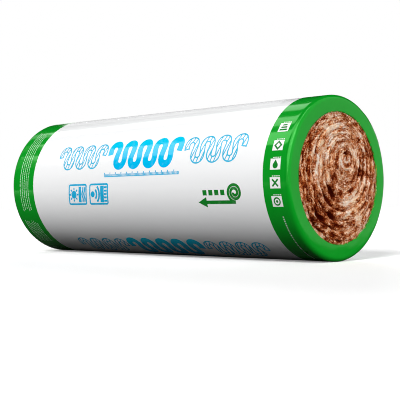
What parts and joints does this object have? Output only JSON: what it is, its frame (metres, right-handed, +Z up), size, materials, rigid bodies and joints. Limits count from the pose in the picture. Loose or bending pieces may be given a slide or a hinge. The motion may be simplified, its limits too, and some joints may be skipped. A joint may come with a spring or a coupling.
{
  "type": "insulation roll",
  "caption": "Mineral-wool insulation blanket wound into a roll, in a white film sleeve with green ends that leave the turns open to view.",
  "frame": {"origin": "on the floor, under the middle of the lying roll", "axes": "+X along the roll's axis, +Z up, -Y the printed side"},
  "size_m": [1.2016, 0.4548, 0.4548],
  "materials": {
    "mineral_wool": "fibrous, matt, brown mineral wool with pale and dark turns",
    "printed_film": "glossy polyethylene film, white, printed green at both ends"
  },
  "bodies": {
    "root": {"wool_roll": "mineral_wool", "film_wrap": "printed_film"}
  },
  "joints": []
}
